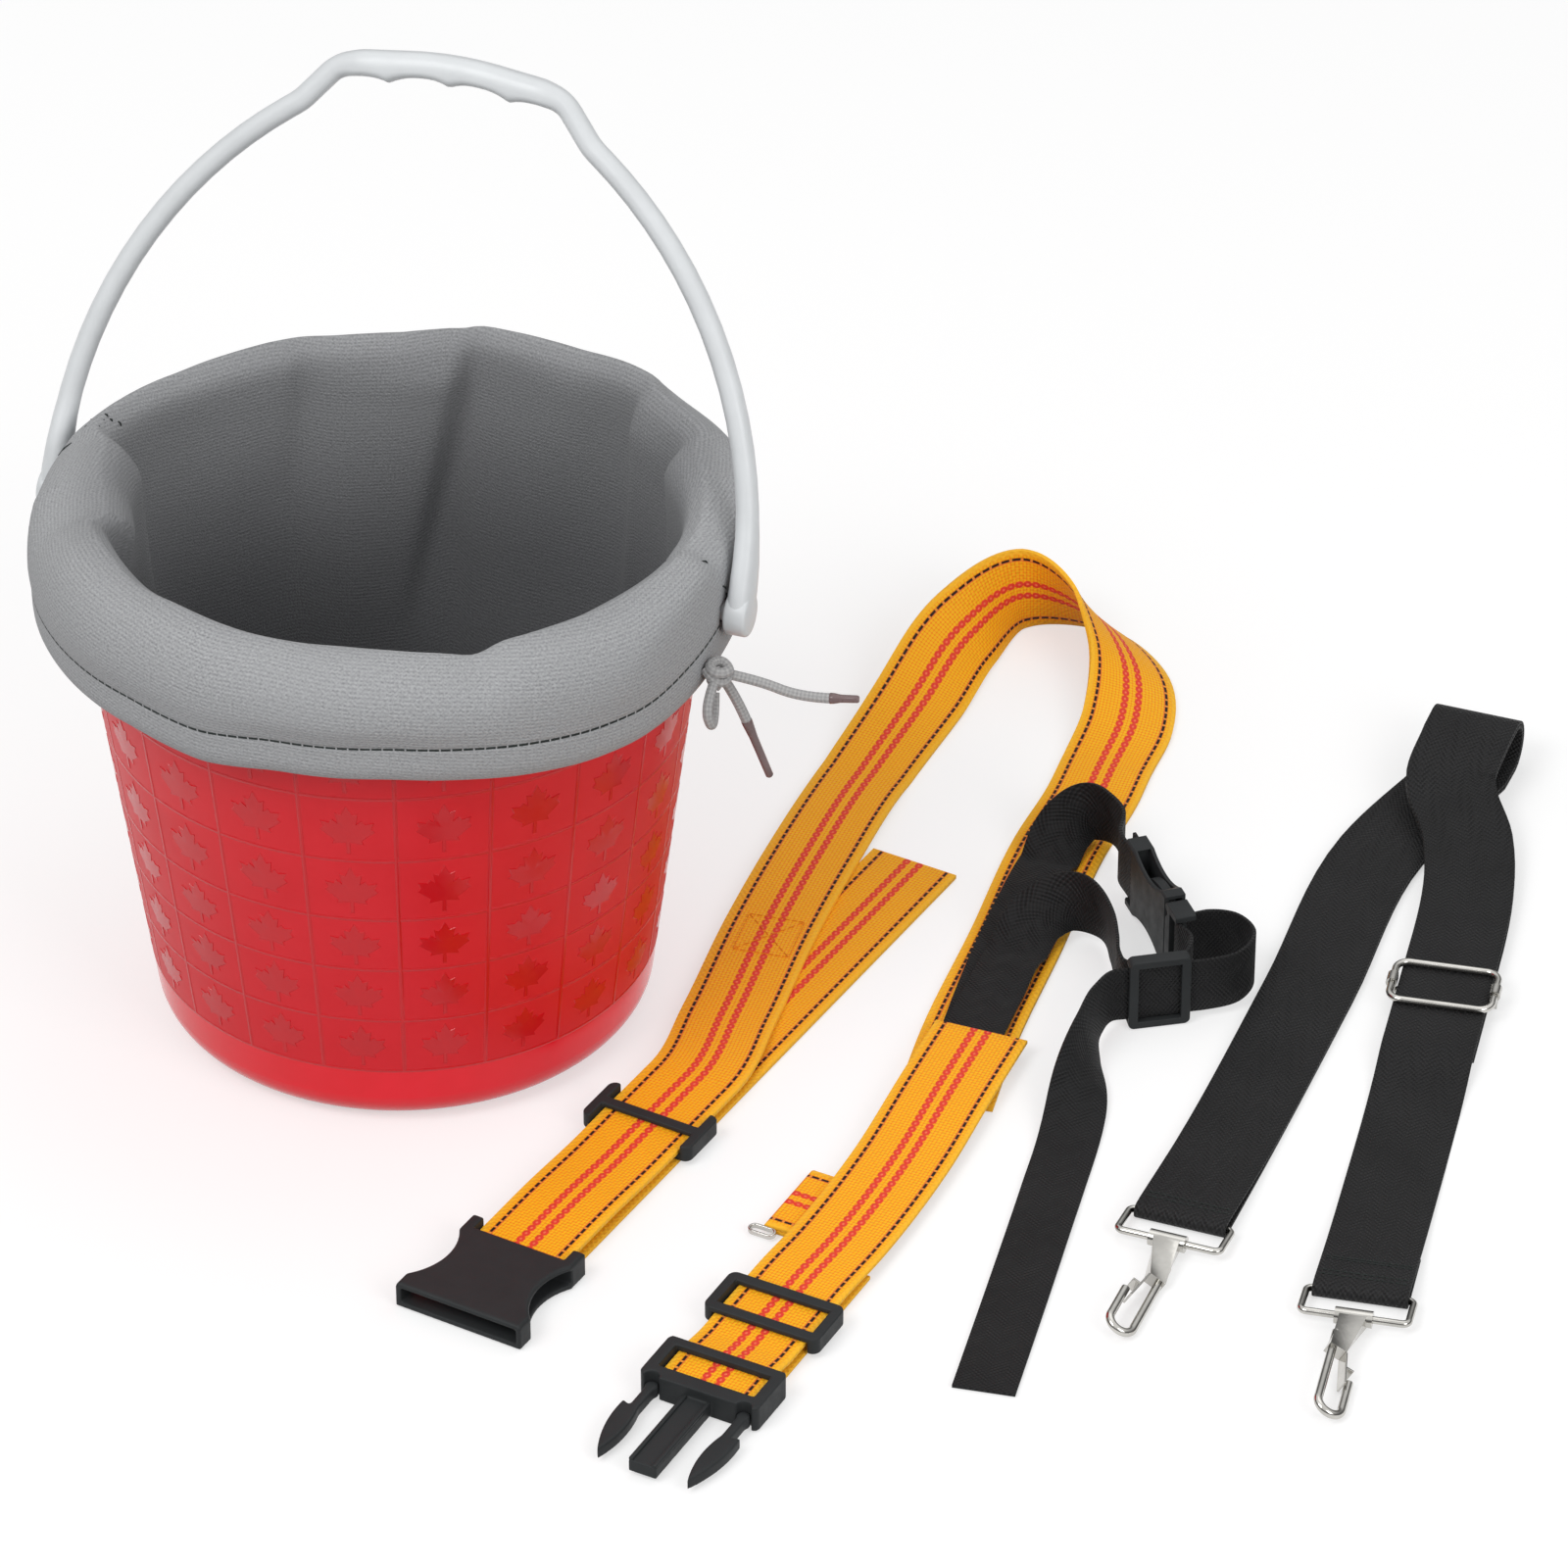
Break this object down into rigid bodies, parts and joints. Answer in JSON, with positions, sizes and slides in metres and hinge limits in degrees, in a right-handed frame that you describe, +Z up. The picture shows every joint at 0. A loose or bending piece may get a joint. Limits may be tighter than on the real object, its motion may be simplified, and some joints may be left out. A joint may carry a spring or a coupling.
{
  "type": "harvest basket",
  "caption": "Round picking bucket with a swinging bail and a cloth liner turned over its rim, set out with its adjustable waist belt, sling and snap-hook shoulder strap.",
  "frame": {"origin": "centre of the bucket's base, on the floor", "axes": "+Z up along the bucket's axis, +X towards the belt and strap that lie beside the bucket, +Y away from the viewer"},
  "size_m": [0.62, 0.6037, 0.3952],
  "materials": {
    "bucket_red": "glossy, slightly translucent",
    "liner_cloth": "brushed knit",
    "cord": "braided cord",
    "aglet": "dipped cord end",
    "bail_plastic": "satin",
    "belt_webbing": "woven webbing with red stripes",
    "black_webbing": "woven webbing",
    "black_plastic": "satin moulding",
    "nickel": "nickel plated"
  },
  "bodies": {
    "bucket": {"bucket_shell": "bucket_red", "liner_bag": "liner_cloth", "liner_cuff": "liner_cloth", "drawstring_in_hem": "cord", "drawstring_knot": "cord", "drawstring_long": "cord", "drawstring_short": "cord", "drawstring_loop": "cord", "aglet_long": "aglet", "aglet_short": "aglet"},
    "bail": {"bail_handle": "bail_plastic"},
    "belt": {"belt_webbing_main": "belt_webbing", "belt_webbing_end": "belt_webbing", "belt_tab": "belt_webbing", "belt_clip": "nickel", "belt_socket": "black_plastic", "belt_plug": "black_plastic", "sling_strap_upper": "black_webbing", "sling_strap_lower": "black_webbing", "sling_socket": "black_plastic", "sling_plug": "black_plastic", "sling_slider": "black_plastic"},
    "belt_slider_upper": {"belt_slider_upper": "black_plastic"},
    "belt_slider_lower": {"belt_slider_lower": "black_plastic"},
    "belt_prong_left": {"belt_prong_left": "black_plastic"},
    "belt_prong_right": {"belt_prong_right": "black_plastic"},
    "sling_prong_low": {"sling_prong_low": "black_plastic"},
    "sling_prong_high": {"sling_prong_high": "black_plastic"},
    "strap": {"shoulder_webbing": "black_webbing"},
    "strap_slider": {"strap_slider_frame": "nickel"},
    "strap_slider_bar": {"strap_slider_bar": "nickel"},
    "hook_1_ring": {"hook_1_ring": "nickel"},
    "hook_1": {"hook_1_body": "nickel", "hook_1_wire": "nickel"},
    "hook_1_gate": {"hook_1_gate": "nickel"},
    "hook_2_ring": {"hook_2_ring": "nickel"},
    "hook_2": {"hook_2_body": "nickel", "hook_2_wire": "nickel"},
    "hook_2_gate": {"hook_2_gate": "nickel"}
  },
  "joints": [
    {"name": "bail_swing", "type": "hinge", "parent": "bucket", "child": "bail", "pos_m": [0, 0, 0.21], "axis": [0.9483, -0.3173, 0], "range_deg": [-60, 109]},
    {"name": "belt_lift", "type": "slide", "parent": "bucket", "child": "belt", "axis": [0, 0, 1], "range_m": [0, 0.1]},
    {"name": "strap_lift", "type": "slide", "parent": "bucket", "child": "strap", "axis": [0, 0, 1], "range_m": [0, 0.15]},
    {"name": "belt_upper_adjust", "type": "slide", "parent": "belt", "child": "belt_slider_upper", "axis": [0.5, 0.866, 0], "range_m": [-0.01, 0.01]},
    {"name": "belt_lower_adjust", "type": "slide", "parent": "belt", "child": "belt_slider_lower", "axis": [0.4695, 0.8829, 0], "range_m": [-0.008, 0.008]},
    {"name": "belt_prong_left_squeeze", "type": "hinge", "parent": "belt", "child": "belt_prong_left", "pos_m": [0.10499, -0.27668, 0.0041], "axis": [0, 0, 1], "range_deg": [0, 7], "stiffness_Nm_per_rad": 0.3},
    {"name": "belt_prong_right_squeeze", "type": "hinge", "parent": "belt", "child": "belt_prong_right", "pos_m": [0.14031, -0.29546, 0.0041], "axis": [0, 0, -1], "range_deg": [0, 7], "stiffness_Nm_per_rad": 0.3},
    {"name": "sling_prong_low_squeeze", "type": "hinge", "parent": "belt", "child": "sling_prong_low", "pos_m": [0.31725, 0.00968, 0.005], "axis": [0.9511, 0.309, 0], "range_deg": [0, 5], "stiffness_Nm_per_rad": 0.15},
    {"name": "sling_prong_high_squeeze", "type": "hinge", "parent": "belt", "child": "sling_prong_high", "pos_m": [0.31725, 0.00968, 0.028], "axis": [-0.9511, -0.309, 0], "range_deg": [0, 5], "stiffness_Nm_per_rad": 0.15},
    {"name": "strap_adjust", "type": "slide", "parent": "strap", "child": "strap_slider", "axis": [0.225, 0.9744, 0], "range_m": [-0.015, 0.015]},
    {"name": "strap_bar_slide", "type": "slide", "parent": "strap_slider", "child": "strap_slider_bar", "axis": [0.225, 0.9744, 0], "range_m": [-0.003, 0.003]},
    {"name": "hook_1_ring_lift", "type": "hinge", "parent": "strap", "child": "hook_1_ring", "pos_m": [0.313, -0.168, 0.0033], "axis": [-0.9323, 0.3616, 0], "range_deg": [0, 60]},
    {"name": "hook_1_swing", "type": "hinge", "parent": "hook_1_ring", "child": "hook_1", "pos_m": [0.30688, -0.18379, 0.00483], "axis": [-0.9323, 0.3616, 0], "range_deg": [0, 80]},
    {"name": "hook_1_gate_press", "type": "hinge", "parent": "hook_1", "child": "hook_1_gate", "pos_m": [0.29765, -0.20734, 0.00487], "axis": [0.4662, -0.1808, 0.866], "range_deg": [0, 14], "stiffness_Nm_per_rad": 0.1},
    {"name": "hook_2_ring_lift", "type": "hinge", "parent": "strap", "child": "hook_2_ring", "pos_m": [0.381, -0.216, 0.0033], "axis": [-0.9744, 0.225, 0], "range_deg": [0, 60]},
    {"name": "hook_2_swing", "type": "hinge", "parent": "hook_2_ring", "child": "hook_2", "pos_m": [0.37719, -0.2325, 0.00483], "axis": [-0.9744, 0.225, 0], "range_deg": [0, 80]},
    {"name": "hook_2_gate_press", "type": "hinge", "parent": "hook_2", "child": "hook_2_gate", "pos_m": [0.37158, -0.25717, 0.00477], "axis": [-0.4872, 0.1125, -0.866], "range_deg": [0, 14], "stiffness_Nm_per_rad": 0.1}
  ]
}
